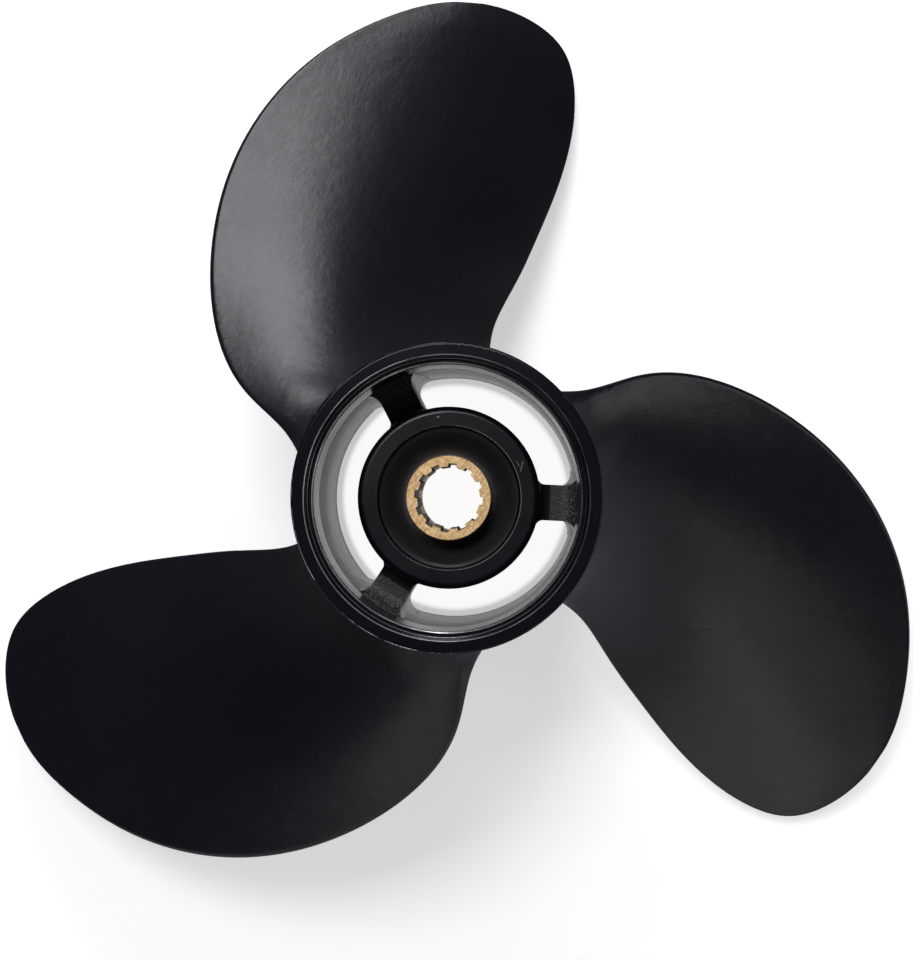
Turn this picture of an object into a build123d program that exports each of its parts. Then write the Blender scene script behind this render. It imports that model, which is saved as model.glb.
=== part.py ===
from build123d import *
import math
import os

# Three-blade outboard propeller with exhaust through the hub.
# Z runs along the shaft and points forward, to the gearcase side.
# The origin is on the shaft axis, in the forward face of the splined sleeve.

# ---- driving dimensions (mm, degrees) ----
TIP_Y = 107.3               # tip of the first blade, for a propeller of 8.5 in (216 mm)
PITCH = 229.0               # 9 in of travel for each turn
BLADE_COUNT = 3
BLADE_STEP = 360.0 / BLADE_COUNT

RIM_Z = 14.5                # forward rim of the barrel
BARREL_LENGTH = 80.0
AFT_Z = RIM_Z - BARREL_LENGTH
BARREL_R = 28.6             # outer radius of the barrel
AFT_LIP_R = 29.2            # slightly flared aft rim
REGISTER_R = 24.5           # machined bore that the exhaust snout enters
REGISTER_END_Z = 0.5
CAST_BORE_R = 24.8          # cast bore just behind the register
AFT_BORE_R = 26.3           # the same bore at the aft rim

HUB_R = 17.4                # inner hub
HUB_BORE_R = 13.3
HUB_FRONT_Z = -1.5
HUB_AFT_Z = -58.0

RIB_WIDTH = 6.9
RIB_WALL_CORNER_R = 2.7     # rounded corners of the exhaust passages
RIB_HUB_CORNER_R = 1.5
RIB_WALL_R = 25.6           # where the outer corners are tangent
RIB_ANGLE = -2.8            # middle of the first rib
RIB_FRONT_Z = -3.5          # at the wall
RIB_HUB_Z = -4.7            # at the hub
RIB_SADDLE_Z = -7.0         # between hub and wall
SADDLE_INNER_R = 19.5       # flat bottom of the saddle
SADDLE_OUTER_R = 21.6
SADDLE_WALL_R = 25.1
SADDLE_HUB_BEND = 2.6
SADDLE_WALL_BEND = 3.6
SADDLE_CUT_R = (15.0, 30.0)  # how far the saddle cut runs past hub and wall
RIB_AFT_Z = -55.0

SLEEVE_R = 8.1              # forward nose of the sleeve
SLEEVE_CHAMFER = 0.15
SLEEVE_BODY_R = 9.6         # body inside the rubber
SLEEVE_SHOULDER_Z = -8.0
SLEEVE_AFT_Z = -60.0
SPLINE_AFT_Z = -24.0
RELIEF_R = 7.1              # plain bore behind the spline
SPLINE_TEETH = 12
SPLINE_MAJOR_R = 6.55
SPLINE_MINOR_R = 5.95
SPLINE_ANGLE = 8.5          # middle of the first tooth
TOOTH_ROOT_SHARE = 0.60     # share of one pitch filled by a tooth at the major radius
TOOTH_TIP_SHARE = 0.47      # and at the minor radius
BUSH_CLEARANCE = 0.05       # radial gap that stands for the bonded joint

RAKE = -0.26                # aft lean of the blade, mm for each mm of radius
HELIX_RISE = PITCH / (2 * math.pi)
ROOT_ANGLE = 115.0          # middle of the blade root
ROOT_Z = RIM_Z - 33.0       # height of the pressure face at that angle
EDGE_THICKNESS = 1.5
TIP_THICKNESS = 2.5
ROOT_THICKNESS = 7.0
FULL_ARCH_CHORD = 38.0      # sections with a shorter chord, near the tip, are flatter
FLARE_SIZE = 3.6            # root fillet, as added thickness on each side
FLARE_LENGTH = 3.2
FLARE_START_R = BARREL_R - 2.0
# Stations from a rounded edge to the middle of a section, and the curve
# parameters that go with them. All sections share them.
EDGE_TURNS = [0, 35, 65, 90]
CHORD_SHARES = [0.05, 0.13, 0.22, 0.32, 0.43, 0.54, 0.66, 0.77, 0.88]
EDGE_STEPS = [0.0, 0.015, 0.03, 0.045] + [0.045 + 0.455 * share for share in CHORD_SHARES]
SECTION_STEPS = EDGE_STEPS + [0.5] + [1 - step for step in reversed(EDGE_STEPS)]

# Leading and trailing edges of the first blade seen along the shaft, root to tip.
LEADING_EDGE = [
    (-24.5, 2.0), (-27.6, 8.6), (-32.2, 14.2), (-36.8, 18.3), (-41.2, 23.6),
    (-46.0, 35.3), (-47.4, 44.8), (-47.1, 56.6), (-42.2, 74.5), (-28.6, 93.2),
    (-12.8, 103.5), (-5.2, 106.35), (1.9, TIP_Y),
]
TRAILING_EDGE = [
    (-19.0, 2.0), (-9.0, 12.5), (1.5, 21.0), (6.2, 28.0), (7.5, 34.6),
    (11.8, 44.0), (16.8, 54.6), (21.7, 66.5), (25.3, 79.6), (25.9, 89.0),
    (23.5, 98.2), (15.4, 104.8), (8.6, 106.9), (1.9, TIP_Y),
]


def edge_x(edge, y):
    """X of a blade edge curve at the height y, by halving along the curve."""
    low = 0.0
    high = 1.0
    for _ in range(40):
        middle = (low + high) / 2
        if edge.position_at(middle).Y < y:
            low = middle
        else:
            high = middle
    return edge.position_at((low + high) / 2).X


def face_height(x, y):
    """Height of the pressure face, a raked helicoid."""
    radius = math.hypot(x, y)
    angle = math.atan2(y, x) - math.radians(ROOT_ANGLE)
    return ROOT_Z + HELIX_RISE * angle + RAKE * (radius - BARREL_R)


def root_flare(x, y):
    """Extra thickness on each side where the blade meets the barrel."""
    distance = max(math.hypot(x, y) - FLARE_START_R, 0.0)
    return FLARE_SIZE / (1 + (distance / FLARE_LENGTH) ** 2)


def section_points(x_lead, x_trail, y):
    """Forward and aft sides of the blade in the plane at y, as (x, z) points."""
    chord = x_trail - x_lead
    edge_r = min(EDGE_THICKNESS, chord / 3) / 2
    reach = min(max((TIP_Y - y) / (TIP_Y - BARREL_R), 0.0), 1.0)
    thickest = TIP_THICKNESS + (ROOT_THICKNESS - TIP_THICKNESS) * reach ** 1.3

    rounded = [edge_r * (1 - math.cos(math.radians(a))) for a in EDGE_TURNS]
    half_span = chord / 2 - edge_r
    inner = [edge_r + half_span * share for share in CHORD_SHARES]
    from_lead = rounded + inner
    stations = from_lead + [chord / 2] + [chord - d for d in reversed(from_lead)]

    forward_side = []
    aft_side = []
    for along in stations:
        x = x_lead + along
        slope = (face_height(x + 0.01, y) - face_height(x - 0.01, y)) / 0.02
        length = math.hypot(slope, 1.0)
        normal = (-slope / length, 1.0 / length)
        from_edge = min(along, chord - along)
        roundness = min(from_edge / edge_r, 1.0)
        half_edge = edge_r * math.sqrt(1 - (1 - roundness) ** 2)
        bulge = max(math.sin(math.pi * along / chord), 0.0) ** 1.3
        arch = (thickest - 2 * edge_r) * bulge * min(chord / FULL_ARCH_CHORD, 1.0)
        fade = min(from_edge / (3 * edge_r), 1.0)
        flare = root_flare(x, y) * fade
        forward = edge_r + half_edge + arch + flare
        aft = edge_r - half_edge - flare
        z = face_height(x, y)
        forward_side.append((x + normal[0] * forward, z + normal[1] * forward))
        aft_side.append((x + normal[0] * aft, z + normal[1] * aft))
    return forward_side, aft_side


os.makedirs("parts", exist_ok=True)

# ---- outer barrel ----
with BuildPart() as outer_barrel:
    with BuildSketch(Plane.XZ):
        with BuildLine():
            Polyline(
                (26.2, RIM_Z),
                (25.5, RIM_Z - 0.7),
                (25.4, RIM_Z - 1.5),
                (REGISTER_R + 0.3, RIM_Z - 1.5),
                (REGISTER_R, RIM_Z - 1.8),
                (REGISTER_R, REGISTER_END_Z),
                (CAST_BORE_R, REGISTER_END_Z - 0.5),
                (AFT_BORE_R, AFT_Z + 0.8),
                (AFT_BORE_R + 0.7, AFT_Z),
                (AFT_LIP_R - 0.6, AFT_Z),
                (AFT_LIP_R, AFT_Z + 0.6),
            )
            Line((AFT_LIP_R, AFT_Z + 0.6), (AFT_LIP_R, AFT_Z + 2.5))
            Spline(
                (AFT_LIP_R, AFT_Z + 2.5),
                (BARREL_R + 0.2, AFT_Z + 8.0),
                (BARREL_R, AFT_Z + 14.0),
                tangents=[(0, 1), (0, 1)],
            )
            Line((BARREL_R, AFT_Z + 14.0), (BARREL_R, RIM_Z - 0.6))
            RadiusArc((BARREL_R, RIM_Z - 0.6), (BARREL_R - 0.6, RIM_Z), -0.6)
            Line((BARREL_R - 0.6, RIM_Z), (26.2, RIM_Z))
        make_face()
    revolve(axis=Axis.Z)
outer_barrel.part.label = "outer_barrel"
export_step(outer_barrel.part, "parts/outer_barrel.step")

# ---- inner hub ----
with BuildPart() as inner_hub:
    with BuildSketch(Plane.XY.offset(HUB_AFT_Z)):
        Circle(HUB_R)
        Circle(HUB_BORE_R, mode=Mode.SUBTRACT)
    extrude(amount=HUB_FRONT_Z - HUB_AFT_Z)
    front_edges = inner_hub.edges().filter_by(GeomType.CIRCLE).group_by(Axis.Z)[-1]
    fillet(front_edges.sort_by(SortBy.RADIUS)[-1], radius=1.2)
    front_edges = inner_hub.edges().filter_by(GeomType.CIRCLE).group_by(Axis.Z)[-1]
    chamfer(front_edges.sort_by(SortBy.RADIUS)[0], length=0.5)
    aft_edges = inner_hub.edges().filter_by(GeomType.CIRCLE).group_by(Axis.Z)[0]
    fillet(aft_edges.sort_by(SortBy.RADIUS)[-1], radius=0.8)
inner_hub.part.label = "inner_hub"
export_step(inner_hub.part, "parts/inner_hub.step")

# ---- three ribs that carry the inner hub inside the barrel ----
def rounded_corner(circle_r, corner_r, inside):
    """Rounding between a rib's side and a circle: its two ends and its middle."""
    reach = circle_r - corner_r if inside else circle_r + corner_r
    middle_y = RIB_WIDTH / 2 + corner_r
    middle_x = math.sqrt(reach ** 2 - middle_y ** 2)
    on_circle = Vector(middle_x, middle_y) * (circle_r / reach)
    on_side = Vector(middle_x, RIB_WIDTH / 2)
    centre = Vector(middle_x, middle_y)
    way = (on_circle - centre).normalized() + (on_side - centre).normalized()
    return on_circle, centre + way.normalized() * corner_r, on_side


with BuildSketch(Plane.XY.offset(RIB_AFT_Z)) as rib_outline:
    with BuildLine():
        hub_end, hub_middle, hub_side = rounded_corner(HUB_R, RIB_HUB_CORNER_R, False)
        wall_end, wall_middle, wall_side = rounded_corner(RIB_WALL_R, RIB_WALL_CORNER_R, True)
        inner_corner = hub_end * 0.85
        outer_corner = wall_end * 1.08
        Line(inner_corner, hub_end)
        ThreePointArc(hub_end, hub_middle, hub_side)
        Line(hub_side, wall_side)
        ThreePointArc(wall_side, wall_middle, wall_end)
        Line(wall_end, outer_corner)
        mirror(about=Plane.XZ)
        Line(inner_corner, (inner_corner.X, -inner_corner.Y))
        Line(outer_corner, (outer_corner.X, -outer_corner.Y))
    make_face()

for number in range(BLADE_COUNT):
    with BuildPart() as rib:
        add(rib_outline.sketch)
        extrude(amount=RIB_FRONT_Z - RIB_AFT_Z)
        # saddle across the forward end, lowest between hub and wall
        with BuildSketch(Plane.XZ):
            with BuildLine():
                Line((SADDLE_CUT_R[0], RIB_HUB_Z), (HUB_R, RIB_HUB_Z))
                RadiusArc((HUB_R, RIB_HUB_Z), (SADDLE_INNER_R, RIB_SADDLE_Z), -SADDLE_HUB_BEND)
                Line((SADDLE_INNER_R, RIB_SADDLE_Z), (SADDLE_OUTER_R, RIB_SADDLE_Z))
                RadiusArc((SADDLE_OUTER_R, RIB_SADDLE_Z), (SADDLE_WALL_R, RIB_FRONT_Z), -SADDLE_WALL_BEND)
                Line((SADDLE_WALL_R, RIB_FRONT_Z), (SADDLE_CUT_R[1], RIB_FRONT_Z))
                Line((SADDLE_CUT_R[1], RIB_FRONT_Z), (SADDLE_CUT_R[1], RIM_Z))
                Line((SADDLE_CUT_R[1], RIM_Z), (SADDLE_CUT_R[0], RIM_Z))
                Line((SADDLE_CUT_R[0], RIM_Z), (SADDLE_CUT_R[0], RIB_HUB_Z))
            make_face()
        extrude(amount=2 * RIB_WIDTH, both=True, mode=Mode.SUBTRACT)
        with BuildSketch(Plane.XY.offset(RIB_AFT_Z - 1)):
            Circle(HUB_R)
        extrude(amount=BARREL_LENGTH, mode=Mode.SUBTRACT)
        # trim to the tapered cast bore of the barrel
        with BuildSketch(Plane.XZ):
            with BuildLine():
                Polyline(
                    (0, REGISTER_END_Z - 0.5),
                    (CAST_BORE_R, REGISTER_END_Z - 0.5),
                    (AFT_BORE_R, AFT_Z + 0.8),
                    (0, AFT_Z + 0.8),
                    close=True,
                )
            make_face()
        revolve(axis=Axis.Z, mode=Mode.INTERSECT)
    placed = rib.part.rotate(Axis.Z, RIB_ANGLE + number * BLADE_STEP)
    placed.label = f"rib_{number + 1}"
    export_step(placed, f"parts/rib_{number + 1}.step")

# ---- three blades ----
leading_edge = Edge.make_spline([Vector(x, y) for x, y in LEADING_EDGE])
trailing_edge = Edge.make_spline([Vector(x, y) for x, y in TRAILING_EDGE])
heights = [3.0, 6.5, 10.0, 13.5, 17.0, 20.5, 24.0, 27.5, 31.0, 35.0, 40.0]
heights += [47.0, 56.0, 65.0, 74.0, 82.0]
heights += [TIP_Y - drop for drop in (19.0, 13.0, 8.5, 5.2, 2.8, 1.3, 0.5, 0.12)]

with BuildPart() as first_blade:
    for y in heights:
        with BuildSketch(Plane.XZ.offset(-y)):
            with BuildLine():
                x_lead = edge_x(leading_edge, y)
                x_trail = edge_x(trailing_edge, y)
                for side in section_points(x_lead, x_trail, y):
                    add(Edge.make_spline(side, parameters=SECTION_STEPS))
            make_face()
    loft()
    # seat the root on the barrel
    with BuildSketch(Plane.XY.offset(ROOT_Z)):
        Circle(BARREL_R)
    extrude(amount=BARREL_LENGTH, both=True, mode=Mode.SUBTRACT)

for number in range(BLADE_COUNT):
    with BuildPart() as blade:
        add(first_blade.part.rotate(Axis.Z, number * BLADE_STEP))
    blade.part.label = f"blade_{number + 1}"
    export_step(blade.part, f"parts/blade_{number + 1}.step")

# ---- rubber bush ----
with BuildPart() as rubber_bush:
    with BuildSketch(Plane.XZ):
        with BuildLine():
            nose_r = SLEEVE_R + BUSH_CLEARANCE
            body_r = SLEEVE_BODY_R + BUSH_CLEARANCE
            shoulder_z = SLEEVE_SHOULDER_Z + BUSH_CLEARANCE
            Line((HUB_BORE_R, HUB_AFT_Z + 2.0), (HUB_BORE_R, HUB_FRONT_Z - 1.2))
            Spline(
                (HUB_BORE_R, HUB_FRONT_Z - 1.2),
                (11.2, HUB_FRONT_Z - 3.0),
                (9.4, HUB_FRONT_Z - 4.5),
                (nose_r, HUB_FRONT_Z - 4.7),
            )
            Polyline(
                (nose_r, HUB_FRONT_Z - 4.7),
                (nose_r, shoulder_z),
                (body_r, shoulder_z),
                (body_r, HUB_AFT_Z + 4.0),
            )
            Spline(
                (body_r, HUB_AFT_Z + 4.0),
                (11.2, HUB_AFT_Z + 3.4),
                (HUB_BORE_R, HUB_AFT_Z + 2.0),
            )
        make_face()
    revolve(axis=Axis.Z)
rubber_bush.part.label = "rubber_bush"
export_step(rubber_bush.part, "parts/rubber_bush.step")

# ---- splined brass sleeve ----
with BuildSketch() as tooth:
    with BuildLine():
        pitch_angle = 2 * math.pi / SPLINE_TEETH
        root_half = TOOTH_ROOT_SHARE * pitch_angle / 2
        tip_half = TOOTH_TIP_SHARE * pitch_angle / 2
        root_r = SPLINE_MAJOR_R + 0.2
        root_x = root_r * math.cos(root_half)
        root_y = root_r * math.sin(root_half)
        top_x = SPLINE_MINOR_R * math.cos(tip_half)
        top_y = SPLINE_MINOR_R * math.sin(tip_half)
        Line((root_x, -root_y), (top_x, -top_y))
        ThreePointArc((top_x, -top_y), (SPLINE_MINOR_R, 0), (top_x, top_y))
        Line((top_x, top_y), (root_x, root_y))
        Line((root_x, root_y), (root_x, -root_y))
    make_face()

with BuildPart() as splined_sleeve:
    with BuildSketch(Plane.XZ):
        with BuildLine():
            Polyline(
                (SPLINE_MAJOR_R, 0),
                (SLEEVE_R - SLEEVE_CHAMFER, 0),
                (SLEEVE_R, -SLEEVE_CHAMFER),
                (SLEEVE_R, SLEEVE_SHOULDER_Z),
                (SLEEVE_BODY_R, SLEEVE_SHOULDER_Z),
                (SLEEVE_BODY_R, SLEEVE_AFT_Z + 0.5),
                (SLEEVE_BODY_R - 0.5, SLEEVE_AFT_Z),
                (RELIEF_R, SLEEVE_AFT_Z),
                (RELIEF_R, SPLINE_AFT_Z),
                (SPLINE_MAJOR_R, SPLINE_AFT_Z),
                close=True,
            )
        make_face()
    revolve(axis=Axis.Z)
    with BuildSketch(Plane.XY.offset(SPLINE_AFT_Z)):
        with PolarLocations(0, SPLINE_TEETH, start_angle=SPLINE_ANGLE):
            add(tooth.sketch)
    extrude(amount=-SPLINE_AFT_Z)
splined_sleeve.part.label = "splined_sleeve"
export_step(splined_sleeve.part, "parts/splined_sleeve.step")
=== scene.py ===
import bpy
import math
from mathutils import Matrix, Vector


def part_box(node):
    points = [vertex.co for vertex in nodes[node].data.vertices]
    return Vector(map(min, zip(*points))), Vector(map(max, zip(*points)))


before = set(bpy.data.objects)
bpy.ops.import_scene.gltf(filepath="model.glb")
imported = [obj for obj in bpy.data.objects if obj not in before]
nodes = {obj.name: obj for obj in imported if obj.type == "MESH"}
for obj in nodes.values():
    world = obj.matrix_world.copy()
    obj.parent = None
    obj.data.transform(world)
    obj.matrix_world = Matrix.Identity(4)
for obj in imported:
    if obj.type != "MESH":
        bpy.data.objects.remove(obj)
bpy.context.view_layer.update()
MM = 0.001

barrel_low, barrel_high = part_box("outer_barrel")
RIM_Z = barrel_high[2]
FLOOR_Z = barrel_low[2]


# ---- material helpers ----
class Nodes:
    """A node tree with short calls for the nodes the materials use."""

    def __init__(self, name):
        self.material = bpy.data.materials.new(name)
        self.material.use_nodes = True
        self.tree = self.material.node_tree
        self.shader = self.tree.nodes["Principled BSDF"]
        self.place = self.new("ShaderNodeTexCoord").outputs["Object"]

    def new(self, kind, **settings):
        node = self.tree.nodes.new(kind)
        for key, value in settings.items():
            setattr(node, key, value)
        return node

    def link(self, source, target):
        self.tree.links.new(source, target)

    def put(self, socket, value):
        if isinstance(value, bpy.types.NodeSocket):
            self.link(value, socket)
        else:
            socket.default_value = value

    def along(self, degrees, stretch):
        """Coordinates stretched along a direction in the XY plane, for brushed marks."""
        node = self.new("ShaderNodeMapping", vector_type="TEXTURE")
        self.link(self.place, node.inputs["Vector"])
        node.inputs["Scale"].default_value = (stretch, 1, 1)
        node.inputs["Rotation"].default_value = (0, 0, math.radians(degrees))
        return node.outputs["Vector"]

    def noise(self, scale, detail=4.0, rough=0.55, where=None, warp=0.0):
        node = self.new("ShaderNodeTexNoise")
        self.link(where or self.place, node.inputs["Vector"])
        node.inputs["Scale"].default_value = scale
        node.inputs["Detail"].default_value = detail
        node.inputs["Roughness"].default_value = rough
        node.inputs["Distortion"].default_value = warp
        return node.outputs["Fac"]

    def ranged(self, value, low, high, to_low=0.0, to_high=1.0):
        """A smooth step from to_low, at low, to to_high, at high."""
        node = self.new("ShaderNodeMapRange", clamp=True, interpolation_type="SMOOTHSTEP")
        self.put(node.inputs["Value"], value)
        for key, number in zip(("From Min", "From Max", "To Min", "To Max"), (low, high, to_low, to_high)):
            node.inputs[key].default_value = number
        return node.outputs["Result"]

    def math(self, kind, a, b=0.0):
        node = self.new("ShaderNodeMath", operation=kind)
        for socket, value in zip(node.inputs, (a, b)):
            self.put(socket, value)
        return node.outputs["Value"]

    def mix(self, share, a, b):
        node = self.new("ShaderNodeMix", data_type="RGBA")
        self.put(node.inputs["Factor"], share)
        self.put(node.inputs["A"], a)
        self.put(node.inputs["B"], b)
        return node.outputs["Result"]

    def bump(self, height, strength, distance, under=None):
        node = self.new("ShaderNodeBump")
        node.inputs["Strength"].default_value = strength
        node.inputs["Distance"].default_value = distance
        self.link(height, node.inputs["Height"])
        if under:
            self.link(under, node.inputs["Normal"])
        return node.outputs["Normal"]

    def split(self):
        node = self.new("ShaderNodeSeparateXYZ")
        self.link(self.place, node.inputs["Vector"])
        return node.outputs["X"], node.outputs["Y"], node.outputs["Z"]

    def radius(self):
        """Distance from the shaft axis."""
        x, y, _ = self.split()
        total = self.math("ADD", self.math("MULTIPLY", x, x), self.math("MULTIPLY", y, y))
        return self.math("SQRT", total)

    def band(self, value, middle, half, soft):
        """1 within half of middle, falling to 0 over soft."""
        away = self.math("ABSOLUTE", self.math("SUBTRACT", value, middle))
        return self.ranged(away, half, half + soft, 1.0, 0.0)

    def ring(self, ring_r, ring_z, half):
        """1 on a thin ring about the shaft axis; its sizes are in mm."""
        _, _, z = self.split()
        near_r = self.band(self.radius(), ring_r * MM, half * MM, half * MM)
        near_z = self.band(z, ring_z * MM, half * MM, half * MM)
        return self.math("MULTIPLY", near_r, near_z)

    def scratch(self, middle_x, middle_y, degrees, half_length, half_width):
        """1 on a short straight scratch seen along the shaft; its sizes are in mm."""
        x, y, _ = self.split()
        x = self.math("SUBTRACT", x, middle_x * MM)
        y = self.math("SUBTRACT", y, middle_y * MM)
        c, s = math.cos(math.radians(degrees)), math.sin(math.radians(degrees))
        ahead = self.math("ADD", self.math("MULTIPLY", x, c), self.math("MULTIPLY", y, s))
        aside = self.math("SUBTRACT", self.math("MULTIPLY", y, c), self.math("MULTIPLY", x, s))
        on_length = self.band(ahead, 0.0, half_length * MM, 0.2 * MM)
        on_width = self.band(aside, 0.0, half_width * MM, half_width * MM)
        return self.math("MULTIPLY", on_length, on_width)

    def leaning(self, degrees):
        """How far a point is from the shaft axis along a direction in the XY plane."""
        x, y, _ = self.split()
        c, s = math.cos(math.radians(degrees)), math.sin(math.radians(degrees))
        return self.math("ADD", self.math("MULTIPLY", x, c), self.math("MULTIPLY", y, s))

    def round_axis(self):
        """Coordinates with only radius and height, for the bands of painted reflection on the inner wall."""
        _, _, z = self.split()
        node = self.new("ShaderNodeCombineXYZ")
        self.link(self.radius(), node.inputs["X"])
        self.link(z, node.inputs["Z"])
        return node.outputs["Vector"]

    def most(self, values):
        total = values[0]
        for value in values[1:]:
            total = self.math("MAXIMUM", total, value)
        return total


def grey(level, tint=0.0):
    """A grey with its blue raised by the share tint."""
    return (level, level, level * (1 + tint), 1.0)


# heights and radii in mm, for the marks, painted glints and painted shade on the paint and brass
RIM = RIM_Z / MM
HUB_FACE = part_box("inner_hub")[1][2] / MM
REGISTER_END = RIM - 14.0
BLADE_ROOT_DEPTH = 33.0
INNER_WALL_R = 27.3
OUTER_EDGE_R = 28.4
HUB_BORE_EDGE_R = 13.78
RIB_CAST_R = (20.5, 24.0)           # the rough skin of a rib, with light grain specks that are partly painted glints, fades in from hub to wall
GLINT_STEP_RINGS = [(26.2, 0.0, 0.06), (25.45, 0.75, 0.06), (24.75, 1.55, 0.08)]   # painted glint lines on the rim's step edges: radius, depth, half width
SPLINE_SHADE = (-0.6, -0.2)         # heights over which painted shade darkens the spline bore below the bright face
HUB_SCRATCHES = [(13.9, 6.0, 75, 0.9, 0.05), (13.2, 6.5, 118, 0.45, 0.04), (-2.0, 15.4, 20, 0.15, 0.08)]
BLADE_GRAIN = ((1, 62), (2, 302), (3, 182))   # direction of the sanding marks on each blade, degrees


def paint_material(name, degrees):
    """Satin black paint on a blade: faint sanding marks, a slightly wavy casting under it."""
    n = Nodes(name)
    marks = n.noise(900.0, 5.0, 0.65, n.along(degrees, 5.0), 0.3)
    cloud = n.noise(38.0, 5.0, 0.6)
    waves = n.noise(90.0, 3.0, 0.55)
    peel = n.noise(1500.0, 2.0, 0.5)
    n.put(n.shader.inputs["Base Color"], n.mix(cloud, grey(0.0030, 0.9), grey(0.0048, 0.9)))
    rough = n.math("ADD", n.ranged(cloud, 0.3, 0.7, 0.27, 0.31), n.ranged(marks, 0.3, 0.7, 0.0, 0.03))
    n.shader.inputs["Specular IOR Level"].default_value = 0.4
    n.put(n.shader.inputs["Roughness"], rough)
    low = n.bump(waves, 0.35, 0.0004)
    low = n.bump(peel, 0.20, 0.00004, low)
    n.put(n.shader.inputs["Normal"], n.bump(marks, 0.5, 0.00007, low))
    return n.material


def cast_material(name):
    """Thin black paint over a rough casting, on the ribs; its light grain specks near the wall are partly
    painted glints.
    """
    n = Nodes(name)
    grain = n.noise(2600.0, 4.0, 0.65)
    cloud = n.noise(60.0, 4.0, 0.6)
    at_wall = n.ranged(n.radius(), RIB_CAST_R[0] * MM, RIB_CAST_R[1] * MM)
    # light grain specks near the wall: cast grain, partly painted glints
    grain_and_sheen = n.math("MULTIPLY", n.ranged(grain, 0.44, 0.66), at_wall)
    n.put(n.shader.inputs["Base Color"], n.mix(grain_and_sheen, grey(0.008), grey(0.16)))
    n.put(n.shader.inputs["Roughness"], n.ranged(cloud, 0.3, 0.7, 0.34, 0.46))
    n.put(n.shader.inputs["Normal"], n.bump(grain, 0.5, 0.0002))
    return n.material


def barrel_material(name):
    """Black paint: painted glints on the turned rim edges, brighter on one side and broken up like worn
    paint; rough cast grain on the inner wall, lightened in bands as painted reflection.
    """
    n = Nodes(name)
    _, _, z = n.split()
    radius = n.radius()
    cloud = n.noise(35.0, 4.0, 0.6)
    breaks = n.noise(170.0, 6.0, 0.75)
    peel = n.noise(1300.0, 2.0, 0.5)
    grain = n.noise(2600.0, 4.0, 0.65)
    inside = n.math("LESS_THAN", radius, INNER_WALL_R * MM)
    cast = n.math("MULTIPLY", inside, n.math("LESS_THAN", z, REGISTER_END * MM))
    # painted glints: thin pale lines on the rim's edges, brighter on the lit side and broken up like worn
    # paint
    inner_glint_lines = n.most([n.ring(ring_r, RIM - depth, half) for ring_r, depth, half in GLINT_STEP_RINGS])
    outer_glint_line = n.math("MULTIPLY", n.ring(OUTER_EDGE_R, RIM - 0.1, 0.07), n.ranged(breaks, 0.48, 0.62))
    inner_lit_side = n.ranged(n.leaning(195), -24 * MM, 20 * MM, 0.12, 1.0)
    outer_lit_side = n.ranged(n.leaning(215), -5 * MM, 24 * MM, 0.05, 1.0)
    inner_glint_lines = n.math("MULTIPLY", inner_glint_lines, inner_lit_side)
    wear_and_glint = n.math("MAXIMUM", inner_glint_lines, n.math("MULTIPLY", outer_glint_line, outer_lit_side))
    wear_and_glint = n.math("MULTIPLY", wear_and_glint, n.ranged(breaks, 0.36, 0.60, 0.25, 1.0))
    # grey cast grain on the inner wall, lightened and banded round the axis as painted reflection of the
    # floor
    sheen_bands = n.noise(260.0, 3.0, 0.6, n.round_axis())
    banded_wall_sheen = n.math("MULTIPLY", n.ranged(sheen_bands, 0.35, 0.65, 0.15, 1.0), cast)
    grain_and_sheen = n.math("MULTIPLY", n.ranged(grain, 0.42, 0.66), banded_wall_sheen)
    paint = n.mix(cloud, grey(0.0030, 0.8), grey(0.0050, 0.8))
    painted = n.mix(grain_and_sheen, paint, grey(0.27))
    # the painted glints are pale grey and metallic
    n.put(n.shader.inputs["Base Color"], n.mix(wear_and_glint, painted, grey(0.60)))
    n.put(n.shader.inputs["Metallic"], wear_and_glint)
    smooth = n.ranged(cloud, 0.3, 0.7, 0.20, 0.26)
    n.put(n.shader.inputs["Roughness"], n.math("ADD", smooth, n.math("MULTIPLY", cast, 0.12)))
    n.shader.inputs["Specular IOR Level"].default_value = 0.17
    low = n.bump(peel, 0.12, 0.00004)
    rough_cast = n.math("MULTIPLY", grain, cast)
    n.put(n.shader.inputs["Normal"], n.bump(rough_cast, 0.4, 0.0002, low))
    return n.material


def hub_material(name):
    """Black paint on the inner hub, with a painted glint on the bore edge, brighter on one side and broken up
    like worn paint, and a small scratch.
    """
    n = Nodes(name)
    cloud = n.noise(60.0, 4.0, 0.6)
    breaks = n.noise(200.0, 6.0, 0.7)
    peel = n.noise(1300.0, 2.0, 0.5)
    # painted glint on the bore edge: brighter on one side, broken up like worn paint
    bore_lit_side = n.ranged(n.leaning(-20), -14 * MM, 14 * MM, 0.08, 0.75)
    bore_edge_glint = n.math("MULTIPLY", n.ring(HUB_BORE_EDGE_R, HUB_FACE, 0.05), n.ranged(breaks, 0.38, 0.56, 0.2, 1.0))
    marks = n.math("MULTIPLY", n.most([n.scratch(*stroke) for stroke in HUB_SCRATCHES]), 0.5)
    wear_and_glint = n.math("MAXIMUM", n.math("MULTIPLY", bore_edge_glint, bore_lit_side), marks)
    paint = n.mix(cloud, grey(0.0030, 0.8), grey(0.0050, 0.8))
    n.put(n.shader.inputs["Base Color"], n.mix(wear_and_glint, paint, grey(0.55)))
    n.put(n.shader.inputs["Metallic"], wear_and_glint)
    n.put(n.shader.inputs["Roughness"], n.ranged(cloud, 0.3, 0.7, 0.26, 0.34))
    n.shader.inputs["Specular IOR Level"].default_value = 0.3
    n.put(n.shader.inputs["Normal"], n.bump(peel, 0.15, 0.00005))
    return n.material


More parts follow.
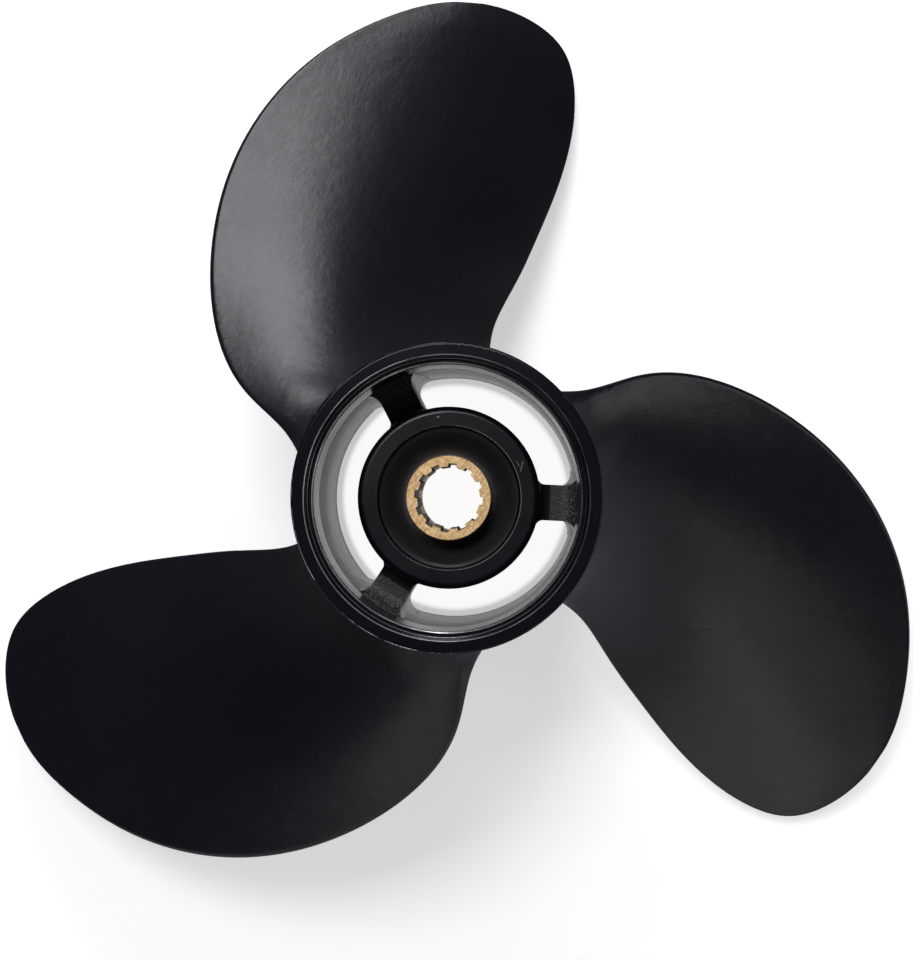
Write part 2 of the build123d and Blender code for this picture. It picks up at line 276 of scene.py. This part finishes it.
def brass_material(name):
    """Sawn and faced brass: crossing diagonal scratches, with painted shade darkening the inside of the
    spline.
    """
    n = Nodes(name)
    _, _, z = n.split()
    cuts = n.noise(2400.0, 4.0, 0.75, n.along(52.0, 7.0))
    cross = n.noise(2000.0, 4.0, 0.75, n.along(-38.0, 6.0))
    mottle = n.noise(1200.0, 4.0, 0.7)
    cloud = n.noise(260.0, 4.0, 0.6)
    lines = n.math("ADD", n.math("MULTIPLY", cuts, 0.45), n.math("MULTIPLY", cross, 0.25))
    lines = n.math("ADD", lines, n.math("MULTIPLY", mottle, 0.3))
    face = n.mix(n.ranged(lines, 0.38, 0.60), (0.55, 0.33, 0.13, 1), (0.98, 0.71, 0.38, 1))
    # painted shade: dark brown below the faced end, inside the spline bore
    painted_spline_shade = n.ranged(z, SPLINE_SHADE[0] * MM, SPLINE_SHADE[1] * MM, 1.0, 0.0)
    n.put(n.shader.inputs["Base Color"], n.mix(painted_spline_shade, face, (0.22, 0.15, 0.09, 1)))
    n.put(n.shader.inputs["Metallic"], n.ranged(cloud, 0.3, 0.7, 0.72, 0.88))
    n.put(n.shader.inputs["Roughness"], n.ranged(cloud, 0.3, 0.7, 0.48, 0.58))
    n.put(n.shader.inputs["Normal"], n.bump(lines, 0.6, 0.00015))
    return n.material


def rubber_material(name):
    """Matt black rubber with a fine uneven skin."""
    n = Nodes(name)
    fine = n.noise(900.0, 4.0, 0.6)
    cloud = n.noise(120.0, 4.0, 0.6)
    n.put(n.shader.inputs["Base Color"], n.mix(cloud, grey(0.016, 0.1), grey(0.026, 0.1)))
    n.put(n.shader.inputs["Roughness"], n.ranged(cloud, 0.3, 0.7, 0.34, 0.44))
    n.shader.inputs["Specular IOR Level"].default_value = 0.5
    n.put(n.shader.inputs["Normal"], n.bump(fine, 0.2, 0.0001))
    return n.material


def give(obj, material):
    obj.data.materials.clear()
    obj.data.materials.append(material)


give(nodes["outer_barrel"], barrel_material("barrel_paint"))
give(nodes["inner_hub"], hub_material("hub_paint"))
cast = cast_material("cast_skin")
for number, degrees in BLADE_GRAIN:
    give(nodes[f"blade_{number}"], paint_material(f"blade_paint_{number}", degrees))
    give(nodes[f"rib_{number}"], cast)
give(nodes["rubber_bush"], rubber_material("bush_rubber"))
give(nodes["splined_sleeve"], brass_material("sleeve_brass"))


# ---- floor, light and camera ----
# The camera sees pale paper. The paint reflects a darker room, which is brighter in front.
FLOOR_GLOW = 0.54
FAR_GLOW = 0.88
BORE_GLOW = 0.93
BOUNCE_GLOW = 0.04
FRONT_BOUNCE_GLOW = 0.45
BOUNCE_PAPER = 0.10
FRONT = -72                         # azimuth of the brighter side, degrees from +X
FLOOR_HALF = 8.0                    # metres
PANEL_COLOUR = (0.97, 0.96, 1.0)
BOUNCE_COLOUR = (0.90, 0.89, 1.0, 1.0)


def add_floor():
    half = FLOOR_HALF
    mesh = bpy.data.meshes.new("floor")
    corners = [(-half, -half, FLOOR_Z), (half, -half, FLOOR_Z), (half, half, FLOOR_Z), (-half, half, FLOOR_Z)]
    mesh.from_pydata(corners, [], [(0, 1, 2, 3)])
    floor = bpy.data.objects.new("floor", mesh)
    bpy.context.collection.objects.link(floor)
    n = Nodes("floor_paper")
    seen = n.new("ShaderNodeLightPath").outputs["Is Camera Ray"]
    paper = n.mix(n.noise(6.0), grey(0.80), grey(0.82))
    n.put(n.shader.inputs["Base Color"], n.mix(seen, grey(BOUNCE_PAPER), paper))
    n.shader.inputs["Roughness"].default_value = 0.9
    neutral = n.math("MAXIMUM", seen, n.ranged(n.radius(), 26 * MM, 34 * MM, 1.0, 0.0))
    n.put(n.shader.inputs["Emission Color"], n.mix(neutral, BOUNCE_COLOUR, grey(1.0)))
    under_barrel = n.ranged(n.radius(), 24 * MM, 27 * MM, BORE_GLOW, 0.0)
    bounce = n.ranged(n.leaning(FRONT), -20 * MM, 90 * MM, BOUNCE_GLOW, FRONT_BOUNCE_GLOW)
    unseen = n.math("SUBTRACT", 1.0, seen)
    glow = n.ranged(n.radius(), 0.4, 1.4, FLOOR_GLOW, FAR_GLOW)
    around = n.math("ADD", n.math("MULTIPLY", seen, glow), n.math("MULTIPLY", unseen, bounce))
    n.put(n.shader.inputs["Emission Strength"], n.math("MAXIMUM", under_barrel, around))
    give(floor, n.material)


# name, azimuth and elevation in degrees, width and height in metres, power in watts
PANEL_DISTANCE = 1.3
PANELS = [
    ("key_low", 89, 12, (0.50, 0.3), 4.4),
    ("key_high", 88, 27, (0.55, 0.3), 4.8),
    ("overhead", 112, 65, (0.5, 0.4), 8.0),
    ("fill_front", -100, 20, (0.9, 0.6), 1.8),
    ("fill_front_left", -140, 15, (0.5, 0.5), 0.7),
    ("fill_front_right", -68, 20, (0.7, 0.6), 1.0),
    ("fill_right", -10, 18, (0.5, 0.4), 1.3),
]


def add_panel(name, azimuth, elevation, size, power):
    """A soft box that faces the propeller from an azimuth counted from +X and an elevation."""
    light = bpy.data.lights.new(name, "AREA")
    light.shape = "RECTANGLE"
    light.size, light.size_y = size
    light.energy = power
    light.color = PANEL_COLOUR
    panel = bpy.data.objects.new(name, light)
    bpy.context.collection.objects.link(panel)
    turn, rise = math.radians(azimuth), math.radians(elevation)
    towards = Vector((math.cos(turn) * math.cos(rise), math.sin(turn) * math.cos(rise), math.sin(rise)))
    panel.location = towards * PANEL_DISTANCE
    panel.rotation_euler = (-towards).to_track_quat("-Z", "Y").to_euler()


def add_world():
    world = bpy.data.worlds.new("studio")
    bpy.context.scene.world = world
    world.use_nodes = True
    tree = world.node_tree
    back = tree.nodes["Background"]
    seen = tree.nodes.new("ShaderNodeLightPath")
    mix = tree.nodes.new("ShaderNodeMix")
    mix.data_type = "RGBA"
    tree.links.new(seen.outputs["Is Camera Ray"], mix.inputs["Factor"])
    mix.inputs["A"].default_value = grey(0.07)
    mix.inputs["B"].default_value = grey(0.90)
    tree.links.new(mix.outputs["Result"], back.inputs["Color"])


def add_camera():
    # lens, place and tilt that fit the outlines of the blades and the rim
    lens = 75.7875
    distance = 0.4015
    aside = (0.00117, 0.00349)
    tilt_x = math.radians(-0.39)
    tilt_y = math.radians(-1.125)
    data = bpy.data.cameras.new("camera")
    data.sensor_width = 36.0
    data.lens = lens
    data.clip_start = 0.01
    camera = bpy.data.objects.new("camera", data)
    bpy.context.collection.objects.link(camera)
    turn = (Matrix.Rotation(tilt_y, 3, "Y") @ Matrix.Rotation(tilt_x, 3, "X")).transposed()
    root_z = RIM_Z - BLADE_ROOT_DEPTH * MM
    place = turn @ Vector((aside[0], aside[1], distance)) + Vector((0, 0, root_z))
    camera.matrix_world = Matrix.Translation(place) @ turn.to_4x4()
    bpy.context.scene.camera = camera


add_floor()
add_world()
for panel_values in PANELS:
    add_panel(*panel_values)
add_camera()
bpy.context.scene.view_settings.view_transform = "Standard"
